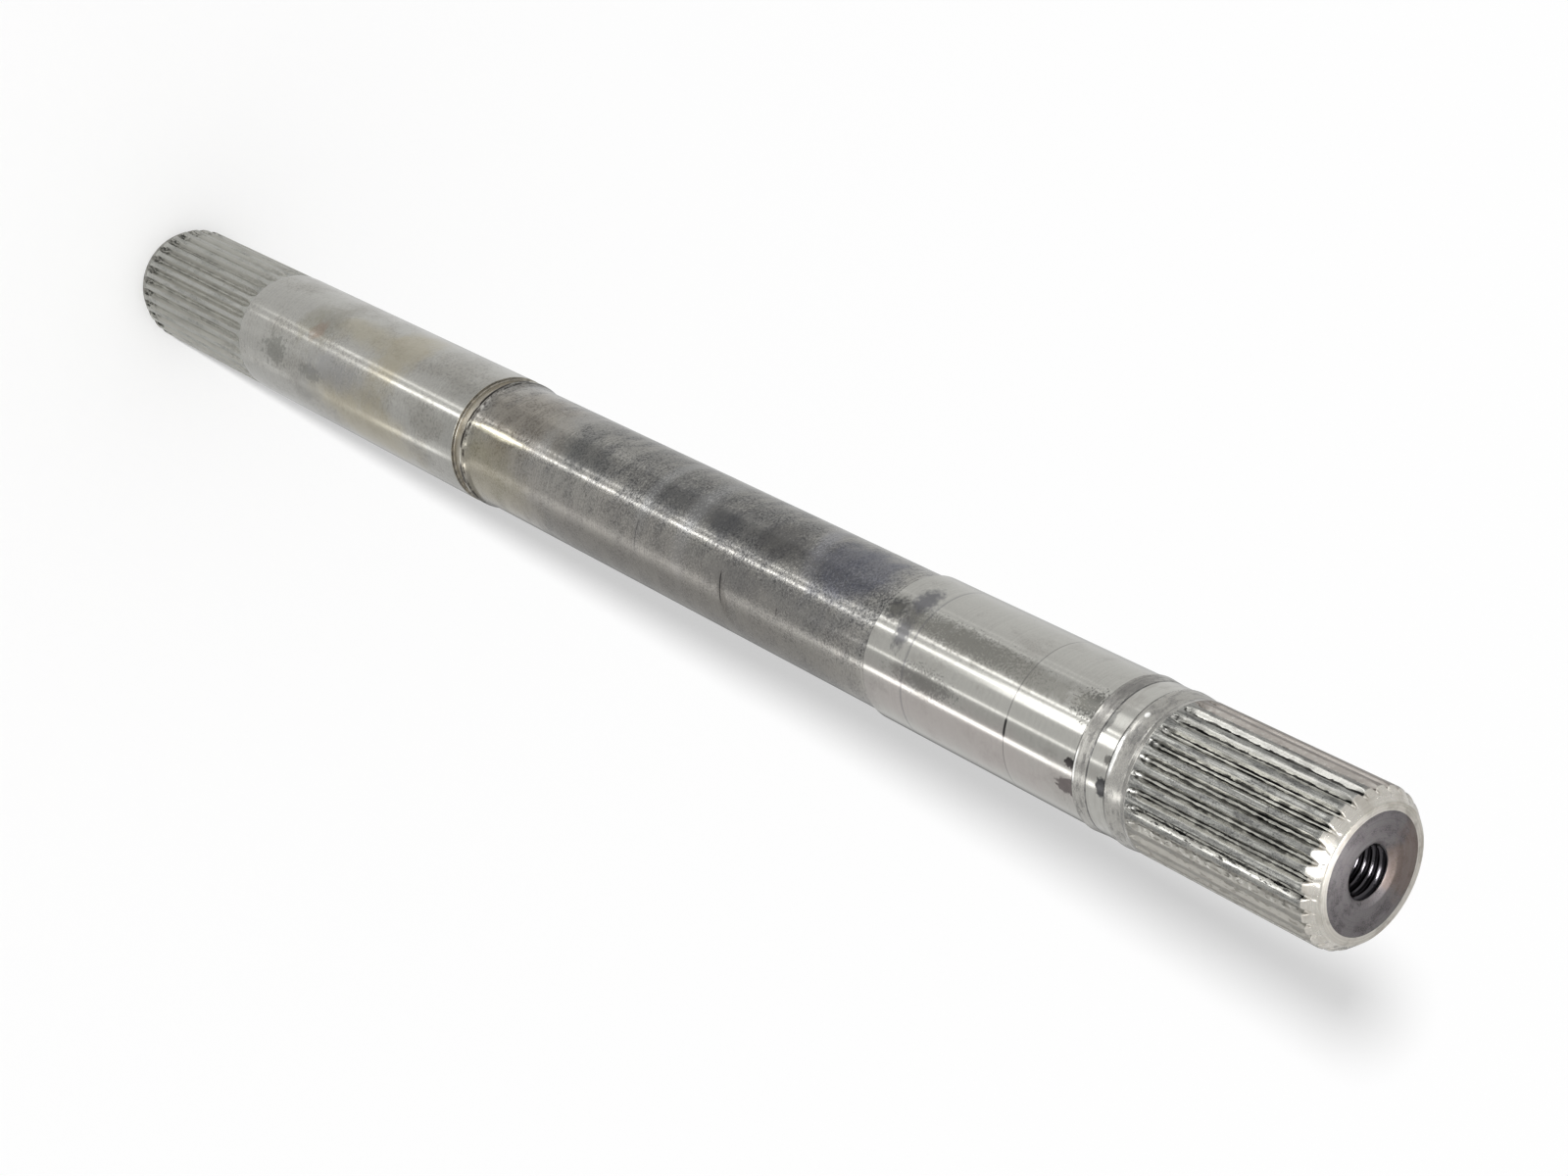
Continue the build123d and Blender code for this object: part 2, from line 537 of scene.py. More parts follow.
    def end_rings(self, length: float, depth: float) -> list[tuple[float, float, Zone]]:
        """Gives the rings from an end face over its chamfer to the teeth.

        Args:
            length: the chamfer's length along the axis.
            depth: the chamfer's depth below the tooth tips.

        Returns:
            Radius, distance from the face and the finish of the strip that follows, for each ring.
        """
        root, tip = self.spline.root_radius, self.spline.tip_radius
        outline = rounded([
            Corner(tip - depth - self.FACE_BORDER, 0.0, Zone.FACE_RING),
            Corner(tip - depth, 0.0, Zone.CHAMFER, edge=0.1 * depth),
            Corner(tip, length, Zone.NEAR_SPLINE, edge=0.7),
            Corner(tip, length + self.TOOTH_LEAD, Zone.NEAR_SPLINE),
        ])
        rings = [(corner.radius, corner.z, corner.zone) for corner in outline]
        start, end = rings[3], rings[4]
        cone = []
        for share in self.CONE_SHARES:
            radius = root + share * (end[0] - root)
            slope = (radius - start[0]) / (end[0] - start[0])
            cone.append((radius, start[1] + slope * (end[1] - start[1]), Zone.CHAMFER))
        return rings[:4] + cone + rings[4:]

    def near_end(self) -> None:
        """Adds the end face, the chamfer and the near spline down to its run-out."""
        form, top = self.form, self.form.length
        self.ring(form.thread.mouth_radius + self.HOLE_BORDER, top, Zone.END_FACE)
        self.ring(form.dark_face_radius, top, Zone.FACE_RING)
        rings = self.end_rings(form.near_chamfer_length, form.near_chamfer_depth)
        for radius, depth, zone in rings:
            self.ring(radius, top - depth, zone)
        self.straight(top - rings[-1][1], self.near_runout, Zone.NEAR_SPLINE, self.NEAR_ROW)
        self.runout(self.near_runout, -1, Zone.NEAR_SPLINE)

    def straight(self, top: float, bottom: float, zone: Zone, step: float) -> None:
        """Adds rings along full-depth teeth.

        Args:
            top: height of the last ring before them.
            bottom: height at which the cutter starts to climb, or the teeth end.
            zone: finish of the teeth.
            step: about the distance between rings.
        """
        rows = round((top - bottom) / step)
        for row in range(1, rows + 1):
            self.ring(self.spline.tip_radius, top - (top - bottom) * row / rows, zone)

    def runout(self, start: float, way: int, zone: Zone) -> None:
        """Adds rings along a run-out.

        Args:
            start: height at which the cutter starts to climb.
            way: -1 where it climbs downwards, 1 where it climbs upwards; the rings always go down.
            zone: finish of the teeth.
        """
        for share in self.CLIMB_SHARES if way < 0 else (*self.CLIMB_SHARES[::-1], 0.0):
            self.ring(self.spline.tip_radius, start + way * share * self.spline.runout_length, zone)

    def middle(self) -> None:
        """Adds the collar, the bands, the near journal, the body, the lip, the groove and the far journal."""
        form, tip, top = self.form, self.spline.tip_radius, self.form.near_spline_z
        rim, journal, body = form.rim_radius, form.near_journal_radius, form.body_radius
        neck_z, far_z = top - form.collar_neck_length, form.far_spline_length
        crown, reach = rim - form.neck_radius, neck_z - form.collar_z
        crown_radius = (crown * crown + reach * reach) / (2 * crown)
        outline = [
            Corner(tip, top + self.SHOULDER[0], Zone.COLLAR),
            Corner(tip, top + self.SHOULDER[1], Zone.COLLAR, edge=0.1),
            Corner(form.neck_radius, neck_z, Zone.COLLAR, edge=0.3),
        ]
        for share in self.ARC_SHARES:
            drop = crown_radius - math.sqrt(crown_radius ** 2 - (share * reach) ** 2)
            outline.append(Corner(rim - drop, form.collar_z + share * reach, Zone.COLLAR, edge=0))
        fillet, length = form.lip_fillet, form.lip_fillet_length
        outline += [
            Corner(rim, form.collar_z, Zone.COLLAR, edge=0.35),
            Corner(journal, form.collar_z, Zone.PLAIN_BAND, edge=0.1),
            Corner(journal, form.plain_z, Zone.TAPER_BAND, edge=0.06),
            Corner(form.taper_foot_radius, form.plain_z - form.foot_ramp, Zone.TAPER_BAND, edge=0.06),
            Corner(rim, form.taper_z + form.rim_width, Zone.TAPER_BAND, edge=0.1),
            Corner(rim, form.taper_z, Zone.NEAR_JOURNAL, edge=0.1),
            Corner(journal, form.taper_z, Zone.NEAR_JOURNAL, edge=0.08),
            Corner(journal, form.body_top_z + form.step_chamfer, Zone.NEAR_JOURNAL, edge=0.1),
            Corner(journal - form.step_chamfer, form.body_top_z, Zone.NEAR_JOURNAL, edge=0.1),
            Corner(body, form.body_top_z, Zone.BODY, edge=0.12),
            Corner(body, form.lip_top_z + length, Zone.BODY, edge=0.5),
        ]
        for share in self.ARC_SHARES[::-1]:
            rise = fillet - math.sqrt(fillet ** 2 - (share * length) ** 2)
            height = form.lip_top_z + length - share * length
            outline.append(Corner(body + rise, height, Zone.BODY, edge=0))
        outline += [
            Corner(form.lip_radius, form.lip_top_z, Zone.LIP, edge=0.15),
            Corner(form.lip_radius, form.lip_z, Zone.GROOVE, edge=0.07),
            Corner(form.groove_radius, form.lip_z, Zone.GROOVE, edge=0.35),
            Corner(form.groove_radius, form.groove_z, Zone.GROOVE, edge=0.35),
            Corner(form.journal_radius, form.groove_z, Zone.FAR_JOURNAL, edge=0.12),
            Corner(form.journal_radius, far_z + form.journal_lead_in, Zone.FAR_JOURNAL, edge=0.3),
            Corner(tip, far_z, Zone.FAR_SPLINE, edge=0.05),
            Corner(tip, far_z - self.FAR_SHOULDER, Zone.FAR_SPLINE),
        ]
        for corner in rounded(outline):
            self.ring(corner.radius, corner.z, corner.zone)

    def far_end(self) -> None:
        """Adds the far spline, its chamfer, the face on which the shaft stands and the lathe centre."""
        form = self.form
        self.runout(self.far_runout, 1, Zone.FAR_SPLINE)
        rings = self.end_rings(form.far_chamfer_length, form.far_chamfer_depth)
        self.straight(self.far_runout, rings[-1][1], Zone.FAR_SPLINE, self.FAR_ROW)
        for outer, inner in zip(rings[-2::-1], rings[-3::-1]):
            zone = Zone.FAR_SPLINE if inner[2] is Zone.NEAR_SPLINE else Zone.FAR_CHAMFER
            self.ring(outer[0], outer[1], zone)
        mouth, drill = form.centre_mouth_radius, form.centre_drill_radius
        self.ring(rings[0][0], 0.0, Zone.FAR_FACE)
        self.ring(mouth + self.CENTRE_BORDER, 0.0, Zone.FAR_FACE)
        cone = (mouth - drill) / math.tan(math.radians(form.centre_angle / 2))
        for radius, z in ((mouth, 0.0), (drill, cone), (drill, form.centre_depth)):
            self.circle(radius, z, Zone.FAR_FACE, form.thread.columns)
        self.circle(0, form.centre_depth + form.centre_point, Zone.FAR_FACE, 1)

    def build(self, finishes: dict[Zone, bpy.types.Material]) -> bpy.types.Object:
        """Makes the shaft and puts it in the place of its CAD node.

        Args:
            finishes: the material of each zone.

        Returns:
            The shaft's object.
        """
        self.tapped_hole()
        self.near_end()
        self.middle()
        self.far_end()
        piece = self.skin.mesh("transmission_input_shaft", finishes)
        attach(piece, "root")
        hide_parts(NODE)
        log.info("%s: %d faces in %d zones", piece.name, len(self.skin.faces), len(set(self.skin.zones)))
        return piece


class Wrap:
    """A number in a node tree, with Python's own arithmetic."""

    def __init__(self, graph: "Graph", socket: bpy.types.NodeSocket) -> None:
        """Holds a socket that gives a number, and the tree that it is in."""
        self.graph = graph
        self.socket = socket

    def maths(self, operation: str, *others: "Number") -> "Wrap":
        """Adds a Math node of an operation, from this number and others."""
        return self.graph.maths(operation, self, *others)

    def __add__(self, other: "Number") -> "Wrap":
        """Gives self + other."""
        return self.maths("ADD", other)

    __radd__ = __add__

    def __sub__(self, other: "Number") -> "Wrap":
        """Gives self - other."""
        return self.maths("SUBTRACT", other)

    def __rsub__(self, other: "Number") -> "Wrap":
        """Gives other - self."""
        return self.graph.maths("SUBTRACT", other, self)

    def __mul__(self, other: "Number") -> "Wrap":
        """Gives self * other."""
        return self.maths("MULTIPLY", other)

    __rmul__ = __mul__

    def __truediv__(self, other: "Number") -> "Wrap":
        """Gives self / other."""
        return self.maths("DIVIDE", other)

    def __rtruediv__(self, other: "Number") -> "Wrap":
        """Gives other / self."""
        return self.graph.maths("DIVIDE", other, self)

    def __neg__(self) -> "Wrap":
        """Gives -self."""
        return self.maths("MULTIPLY", -1.0)

    def __abs__(self) -> "Wrap":
        """Gives the size of self."""
        return self.maths("ABSOLUTE")

    def centred(self, cycle: float) -> "Wrap":
        """Gives self less whole cycles, from minus half a cycle to half a cycle."""
        return (self + cycle / 2).maths("FLOORED_MODULO", cycle) - cycle / 2

    def most(self, other: "Number") -> "Wrap":
        """Gives the larger of self and other."""
        return self.maths("MAXIMUM", other)

    def least(self, other: "Number") -> "Wrap":
        """Gives the smaller of self and other."""
        return self.maths("MINIMUM", other)

    def ramp(self, start: float, end: float, low: "Number" = 0.0, high: "Number" = 1.0) -> "Wrap":
        """Gives an eased step.

        Args:
            start: value at which the result is low.
            end: value at which the result is high; it may be less than start.
            low: result at the start.
            high: result at the end.

        Returns:
            The result, which stays low before the start and high past the end.
        """
        values = {0: self, 1: start, 2: end, 3: low, 4: high}
        node = self.graph.node("ShaderNodeMapRange", {"interpolation_type": "SMOOTHSTEP"}, values)
        return Wrap(self.graph, node.outputs[0])


Number = Wrap | float


class Graph:
    """The nodes of one material."""

    def __init__(self, tree: bpy.types.NodeTree) -> None:
        """Takes a node tree and empties it."""
        self.tree = tree
        tree.nodes.clear()

    def node(self, kind: str, settings: dict[str, object] | None = None,
             inputs: dict[str | int, object] | None = None) -> bpy.types.Node:
        """Adds a node.

        Args:
            kind: Blender's type of the node.
            settings: its settings, which are made before its inputs.
            inputs: a value or a link for each named or numbered input.

        Returns:
            The node.
        """
        made = self.tree.nodes.new(kind)
        for key, value in (settings or {}).items():
            setattr(made, key, value)
        for key, value in (inputs or {}).items():
            if isinstance(value, Wrap):
                value = value.socket
            if isinstance(value, bpy.types.NodeSocket):
                self.tree.links.new(value, made.inputs[key])
            else:
                made.inputs[key].default_value = value
        return made

    def maths(self, operation: str, *values: Number) -> Wrap:
        """Adds a Math node of an operation, from values in order."""
        node = self.node("ShaderNodeMath", {"operation": operation}, dict(enumerate(values)))
        return Wrap(self, node.outputs[0])

    def mix(self, share: Number, first: object, second: object) -> bpy.types.NodeSocket:
        """Mixes two colours.

        Args:
            share: how much of the second one there is.
            first: a colour or a socket that gives one.
            second: a colour or a socket that gives one.

        Returns:
            The socket of the mixed colour.
        """
        colours = [(*each, 1.0) if isinstance(each, tuple) else each for each in (first, second)]
        inputs = {0: share, 6: colours[0], 7: colours[1]}
        return self.node("ShaderNodeMix", {"data_type": "RGBA"}, inputs).outputs[2]

    def end(self, shader: str, inputs: dict[str | int, object],
            output: str = "ShaderNodeOutputMaterial") -> None:
        """Adds a shader of a type with its inputs, and the output that shows it."""
        made = self.node(shader, None, inputs)
        self.node(output, None, {"Surface": made.outputs[0]})


def new_material(name: str) -> tuple[bpy.types.Material, Graph]:
    """Makes a material with an empty node tree, and gives both."""
    made = bpy.data.materials.new(name)
    made.use_nodes = True
    return made, Graph(made.node_tree)


class ShaftSpace:
    """Places on the shaft as a material sees them, and the noises that are laid over them."""

    def __init__(self, graph: Graph) -> None:
        """Adds the nodes that give height, angle and radius.

        Args:
            graph: the material's nodes.
        """
        self.graph = graph
        source = graph.node("ShaderNodeTexCoord").outputs["Object"]
        split = graph.node("ShaderNodeSeparateXYZ", None, {0: source})
        self.x, self.y, self.z = (Wrap(graph, socket) / MM for socket in split.outputs)
        self.phi = (-self.x).maths("ARCTAN2", -self.y) * math.degrees(1)
        self.radius = (self.x * self.x + self.y * self.y).maths("SQRT")
        self.run = self.z - self.radius
        self.noises: dict[tuple[float, ...], Wrap] = {}

    def noise(self, across: float, along: float, detail: float = 2.0, slant: float = 0.0,
              shift: float = 0.0) -> Wrap:
        """Gives a noise from about 0 to 1, whose middle is 0.5.

        Args:
            across: size of its patches round the shaft.
            along: size of its patches along the shaft, or towards the axis on a flat end.
            detail: how many finer layers it has.
            slant: how far the patches lean, as a share of the way round.
            shift: moves the noise to another part of itself.

        Returns:
            The noise, which is made once for each set of sizes.
        """
        key = (across, along, detail, slant, shift)
        if key not in self.noises:
            height = (self.run + self.x * slant) / along + shift
            parts = {0: self.x / across, 1: self.y / across, 2: height}
            spot = self.graph.node("ShaderNodeCombineXYZ", None, parts).outputs[0]
            values = {"Vector": spot, "Scale": 1.0, "Detail": detail, "Roughness": 0.55}
            node = self.graph.node("ShaderNodeTexNoise", None, values)
            self.noises[key] = Wrap(self.graph, node.outputs[0])
        return self.noises[key]

    def turn_from(self, phi: float) -> Wrap:
        """Gives the angle from a line along the shaft, from -180 to 180 degrees."""
        return (self.phi - phi).centred(360.0)


@dataclass(frozen=True)
class Edge:
    """How ragged and soft a stain's edge is, and how much the stain dulls the steel."""

    ragged: float = 0.8
    grain: float = 4.0
    soft: float = 0.35
    dulls: float = 0.1


@dataclass(frozen=True)
class Stain:
    """A patch of another colour, round a middle and with a reach each way."""

    phi: float
    z: float
    phi_reach: float
    z_reach: float
    colour: Colour
    strength: float
    edge: Edge = Edge()
    slant: float = 0.0

    def mask(self, space: ShaftSpace) -> Wrap:
        """Gives where the patch lies.

        Args:
            space: places on the shaft.

        Returns:
            The patch's strength, which is 0 outside it.
        """
        edge, turn = self.edge, space.turn_from(self.phi)
        up = (space.z - self.z) / self.z_reach
        if self.slant:
            up = up + turn * (self.slant / self.z_reach)
        turn = turn / self.phi_reach
        far = (turn * turn + up * up).maths("SQRT")
        far = far + (space.noise(edge.grain, edge.grain, 3.0, shift=2.6) - 0.5) * (2 * edge.ragged)
        return far.ramp(1 + edge.soft, 1 - edge.soft, 0.0, self.strength)


@dataclass(frozen=True)
class Mark:
    """A thin line round the shaft, over a stretch of the turn, or all of it where its reach is 0."""

    z: float
    width: float
    colour: Colour
    strength: float
    phi: float = 0.0
    phi_reach: float = 0.0
    lean: float = 0.0
    uneven: float = 0.0

    def mask(self, space: ShaftSpace) -> Wrap:
        """Gives where the line lies.

        Args:
            space: places on the shaft.

        Returns:
            The line's strength, which is 0 beside it.
        """
        turn = space.turn_from(self.phi)
        height = space.z - self.z
        if self.lean:
            height = height + turn * self.lean
        line = abs(height).ramp(self.width, self.width * 0.25, 0.0, self.strength)
        if self.phi_reach:
            line = line * abs(turn).ramp(self.phi_reach, self.phi_reach * 0.6)
        if self.uneven:
            line = line * space.noise(1.8, 1.8, 3.0, shift=9.2).ramp(0.38, 0.6, 1.0 - self.uneven, 1.0)
        return line


@dataclass(frozen=True)
class Relief:
    """Small unevenness of a surface that is too fine for the mesh."""

    across: float
    along: float
    depth: float
    detail: float = 2.0


NICKS = (Relief(1.0, 1.8, 0.03, 3.0), Relief(0.4, 0.5, 0.006))
GROUND = (Relief(40.0, 0.35, 0.0012, 3.0), Relief(5.0, 9.0, 0.006))
PATINA = (Relief(0.8, 0.8, 0.0005, 3.0), Relief(20.0, 0.5, 0.0007, 3.0), Relief(2.5, 5.0, 0.004))


@dataclass(frozen=True)
class Teeth:
    """Finish of a spline's spaces: their flanks, their bottoms, and the painted shade and soiling in their
    corners.
    """

    spline: SplineForm
    phase: float
    corner_inset: float
    flank: Colour
    flank_roughness: float
    bottom: Colour
    grime_and_shade: Colour
    # Colour of the soiling and of the painted shade in the spaces' corners
    line_strength: float
    patches: float
    ends: tuple[tuple[float, float, float], ...]
    line_fades: float = 0.0
    line_reach: float = 200.0
    pits: float = 0.0
    jitter: float = 1.1

    def dress(self, space: ShaftSpace, colour: object, rough: Wrap) -> tuple[bpy.types.NodeSocket, Wrap]:
        """Lays the finish of the spaces over that of the lands.

        Args:
            space: places on the shaft.
            colour: colour of the lands.
            rough: roughness of the lands.

        Returns:
            Colour and roughness of the whole spline.
        """
        graph, tip, root = space.graph, self.spline.tip_radius, self.spline.root_radius
        uneven = space.noise(0.6, 1.8, 4.0, shift=3.1) - 0.5
        flank = (space.radius + uneven * 0.25).ramp(tip - 0.05, tip - 0.22)
        bottom = space.radius.ramp(root + 0.3, root + 0.08)
        colour = graph.mix(bottom, graph.mix(flank, colour, self.flank), self.bottom)
        rough = flank * (self.flank_roughness - rough) + rough
        film = space.noise(3.0, 9.0, 4.0, shift=3.1).ramp(0.45, 0.68, 0.0, self.patches)
        # Painted shade along the corners, with patches of a soiling film over it
        dirt_and_shade = self.lines(space, uneven).most(film)
        # Darker near the ends of the spaces
        for start, full, strength in self.ends:
            share = space.z.ramp(start, full)
            darker_ends = share * uneven.ramp(-0.1, 0.08, 0.0, strength)
            dirt_and_shade = (dirt_and_shade * (1.0 - share * 0.6)).most(darker_ends)
        if self.pits:
            pits = space.noise(0.6, 2.0, 4.0, shift=9.1).ramp(0.54, 0.6, 0.0, self.pits)
            dirt_and_shade = dirt_and_shade.most(pits * space.phi.ramp(-26.0, -36.0))
        dirt_and_shade = dirt_and_shade * space.radius.ramp(tip - 0.02, tip - 0.3)
        return graph.mix(dirt_and_shade, colour, self.grime_and_shade), rough + dirt_and_shade * 0.25

    def lines(self, space: ShaftSpace, uneven: Wrap) -> Wrap:
        """Gives the dark lines along the corners of the bottoms, which are painted shade.

        Args:
            space: places on the shaft.
            uneven: a fine noise round 0.

        Returns:
            The strength of the lines, which are narrower on the side away from phi 0.
        """
        corner = self.spline.half_space(self.spline.root_radius) - self.corner_inset
        offset = (space.phi - self.phase).centred(self.spline.pitch_angle)
        reach = abs(abs(offset) - corner + uneven * self.jitter)
        heavy = space.noise(2.4, 7.0, 2.0, shift=6.5).ramp(0.35, 0.6, 1.0 - self.line_fades, 1.0)
        swell = space.noise(1.0, 2.4, 3.0, shift=2.2).ramp(0.34, 0.66, 0.55, 1.6)
        # Heavier at the corner towards phi 0, under the flank that turns away from the camera: painted shade
        swell = swell * (offset * space.phi).ramp(-6.0, 6.0, 1.0, 0.62)
        line = (reach / swell).ramp(1.0, 0.65, 0.0, self.line_strength) * heavy
        return line * abs(space.phi).ramp(self.line_reach, self.line_reach * 0.5, 0.2, 1.0)


@dataclass(frozen=True)
class SteelFinish:
    """Finish of one zone: two colours of steel, mottled, with turning marks, stains and fine relief."""

    bright: Colour
    dull: Colour
    roughness: float
    dull_roughness: float
    mottle_across: float
    mottle_along: float
    mottle_slant: float = 0.0
    mottle_from: float = 0.45
    mottle_to: float = 0.65
    quiet_back: float = 0.0
    turning: float = 0.1
    turning_step: float = 0.5
    specks: float = 0.0
    speck_size: float = 0.8
    grain: float = 0.0
    grain_size: float = 0.8
    streaks: float = 0.0
    crest_radius: float = 0.0
    stains: tuple[Stain, ...] = ()
    marks: tuple[Mark, ...] = ()
    relief: tuple[Relief, ...] = GROUND
    teeth: Teeth | None = None

    # Colours of the turning marks, the specks, the soiling in the grain, the streaks and a thread's bare
    # crests, lighter than the painted shade of its roots
    GROOVES, SPECKS = (0.0, 0.0, 0.0), (0.02, 0.02, 0.02)
    DIRT, STREAKS, CRESTS = lin(40, 42, 46), lin(60, 60, 60), lin(72, 70, 73)

    def steel(self, space: ShaftSpace) -> tuple[bpy.types.NodeSocket, Wrap]:
        """Lays turning marks, specks, grain and streaks over the mottled steel.

        Args:
            space: places on the shaft.

        Returns:
            Colour and roughness.
        """
        mix = space.graph.mix
        mottle = space.noise(self.mottle_across, self.mottle_along, 5.0, self.mottle_slant)
        worn = mottle.ramp(self.mottle_from, self.mottle_to)
        if self.quiet_back:
            worn = abs(space.phi).ramp(95.0, 125.0, 0.0, self.quiet_back) * (0.6 - worn) + worn
        colour = mix(worn, self.bright, self.dull)
        rough = worn * (self.dull_roughness - self.roughness) + self.roughness
        if self.turning:
            depth = space.noise(90.0, self.turning_step, 3.0).ramp(0.3, 0.7, self.turning, 0.0)
            colour = mix(depth, colour, self.GROOVES)
            rough = rough + depth * 0.4
        if self.specks:
            dots = space.noise(self.speck_size, self.speck_size, 3.0, shift=7.7)
            colour = mix(dots.ramp(0.6, 0.7, 0.0, self.specks), colour, self.SPECKS)
        if self.grain:
            fine = space.noise(self.grain_size, self.grain_size, 4.0, shift=5.3)
            fine = fine.ramp(0.49, 0.61, 0.0, self.grain) * worn.ramp(-0.6, 1.0)
            colour = mix(fine, colour, self.DIRT)
        if self.streaks:
            along = space.noise(0.45, 9.0, 3.0, shift=8.3).ramp(0.4, 0.62, 0.0, self.streaks)
            colour = mix(along, colour, self.STREAKS)
        # Crests lighter and glossier than the roots, whose darkness is painted shade
        if self.crest_radius:
            bare = space.radius.ramp(self.crest_radius + 0.75, self.crest_radius + 0.2)
            colour = mix(bare, colour, self.CRESTS)
            rough = rough * (1.0 - bare * 0.5)
        return colour, rough

    def material(self, name: str) -> bpy.types.Material:
        """Makes the finish as a material.

        Args:
            name: the material's name.

        Returns:
            The material.
        """
        made, graph = new_material(name)
        space = ShaftSpace(graph)
        colour, rough = self.steel(space)
        if self.teeth:
            colour, rough = self.teeth.dress(space, colour, rough)
        for stain in self.stains:
            share = stain.mask(space)
            colour = graph.mix(share, colour, stain.colour)
            rough = rough + share * stain.edge.dulls
        for mark in self.marks:
            colour = graph.mix(mark.mask(space), colour, mark.colour)
        first, *others = (
            space.noise(each.across, each.along, each.detail, shift=4.4) * each.depth for each in self.relief
        )
        height = sum(others, first)
        bump = graph.node("ShaderNodeBump", None, {"Strength": 1.0, "Distance": MM, "Height": height})
        values = {"Base Color": colour, "Metallic": 1.0, "Roughness": rough.least(0.9)}
        graph.end("ShaderNodeBsdfPrincipled", values | {"Normal": bump.outputs[0]})
        return made


def near_teeth(form: ShaftForm) -> Teeth:
    """Gives the near spline's spaces: polished flanks and black lines of painted shade along the corners of
    the bottoms.
    """
    return Teeth(
        form.spline, form.near_phase, 0.1, flank=lin(214, 213, 207), flank_roughness=0.2,
        bottom=lin(166, 165, 158), grime_and_shade=(0.006, 0.006, 0.006), pits=0.85, line_strength=1.0,
        patches=0.35, jitter=0.9, ends=((form.near_spline_z + 3.0, form.near_spline_z + 1.2, 0.9),),
        line_fades=0.2,
    )


def far_teeth(form: ShaftForm) -> Teeth:
    """Gives the far spline's spaces: a soft dark film of soiling and painted shade along them, darkest at
    both ends.
    """
    return Teeth(
        form.spline, form.far_phase, 0.5, flank=lin(194, 193, 186), flank_roughness=0.5,
        bottom=lin(182, 181, 173), grime_and_shade=(0.035, 0.036, 0.032), line_strength=0.5, patches=0.15,
        ends=((10.0, 5.5, 0.9), (44.0, 52.5, 0.25)), line_fades=0.7, line_reach=56.0,
    )


# Black, a soot grey that also paints shade in the corners of steps, a white that paints highlights, and a tan
BLACK, SOOT_AND_SHADE, PAINTED_HIGHLIGHT, TAN = lin(24, 24, 26), lin(52, 53, 58), lin(252, 252, 249), lin(178, 168, 138)

# Stains, and one painted highlight on the body, by their angle, height, reach round and along the shaft,
# colour, strength, edge and slant
JOURNAL_STAINS = (
    Stain(33, 331.8, 15, 2.7, lin(96, 96, 104), 0.75, Edge(0.8, 1.2, 0.5)),
    Stain(7, 332.3, 14, 1.9, lin(84, 84, 90), 0.75, Edge(0.8, 1.2, 0.45)),
    Stain(19, 327.0, 9.5, 2.6, SOOT_AND_SHADE, 0.8, Edge(1.0, 0.8, 0.5)),
    Stain(18, 384.6, 9, 3.4, lin(74, 74, 70), 0.7, Edge(2.4, 0.5, 0.15)),
    Stain(-25, 385.6, 3.6, 1.5, BLACK, 0.95, Edge(0.8, 0.8, 0.15)),
    Stain(-43.5, 385.6, 6.5, 3.4, lin(36, 34, 33), 0.95, Edge(0.6, 0.8, 0.12), -0.08),
    Stain(19, 349.0, 8, 16, lin(96, 95, 90), 0.4, Edge(2.6, 0.5, 0.25, 0.0)),
    Stain(-22, 342.5, 8, 7, lin(100, 99, 96), 0.4, Edge(2.6, 0.5, 0.25, 0.0)),
    Stain(17, 354.5, 9, 30, lin(140, 138, 130), 0.45, Edge(1.2, 3.0, 0.35, 0.0)),
    Stain(-22, 342.5, 6, 9, lin(130, 128, 124), 0.5, Edge(1.1, 3.0, 0.35, 0.0)),
    Stain(-48, 352.5, 20, 40, lin(190, 178, 176), 0.4, Edge(0.8, 8.0, 0.7, 0.0)),
)
BODY_STAINS = (
    Stain(36, 308.0, 32, 11, lin(104, 107, 124), 0.6, Edge(0.6, 5.0, 0.4, 0.02)),
    Stain(28, 286.0, 20, 8, lin(100, 98, 96), 0.6, Edge(0.8, 5.0, 0.5, 0.02)),
    Stain(20, 268.5, 15, 6, lin(94, 95, 98), 0.62, Edge(0.8, 4.0, 0.5, 0.02)),
    Stain(22, 248.5, 18, 7, lin(106, 107, 108), 0.5, Edge(0.9, 5.0, 0.5, 0.02)),
    Stain(18, 214.0, 16, 10, lin(98, 99, 98), 0.55, Edge(0.9, 5.0, 0.5, 0.02)),
    Stain(-14, 302.5, 16, 16, lin(124, 124, 125), 0.32, Edge(0.9, 3.0, 0.5, 0.02)),
    Stain(-20, 278.5, 14, 8, lin(112, 112, 114), 0.4, Edge(0.9, 3.0, 0.5, 0.02)),
    Stain(50, 295.0, 34, 2.2, lin(180, 180, 184), 0.6, Edge(0.7, 5.0, 0.8, 0.0), 0.1),
    Stain(20, 258.5, 60, 2.4, lin(184, 184, 183), 0.75, Edge(0.5, 5.0, 0.8, 0.0)),
    Stain(30, 242.5, 50, 1.6, lin(182, 182, 181), 0.65, Edge(0.5, 5.0, 0.8, 0.0)),
    Stain(34, 200.5, 40, 3.0, lin(184, 182, 177), 0.68, Edge(0.6, 5.0, 0.8, 0.0), -0.06),
    Stain(-46, 182.5, 40, 14, lin(170, 160, 118), 0.5, Edge(0.7, 8.0, 0.6, 0.0)),
    Stain(30, 186.5, 40, 14, lin(150, 138, 120), 0.4, Edge(0.8, 7.0, 0.6, 0.0)),
    # Painted highlight, yellowish white, beside the lip
    Stain(1.2, 183.0, 3.6, 9.0, lin(246, 240, 214), 0.8, Edge(0.4, 3.0, 0.5, -0.02)),
    Stain(-40, 275.5, 16, 1.5, BLACK, 0.75, Edge(1.0, 1.6, 0.5), 0.08),
    Stain(-50, 242.5, 38, 80, lin(192, 186, 178), 0.5, Edge(0.8, 9.0, 0.7, 0.0)),
    Stain(26, 276.0, 20, 46, lin(76, 76, 79), 0.42, Edge(2.6, 0.45, 0.15, 0.0)),
    Stain(-16, 282.0, 14, 46, lin(80, 80, 82), 0.26, Edge(2.6, 0.45, 0.15, 0.0)),
)
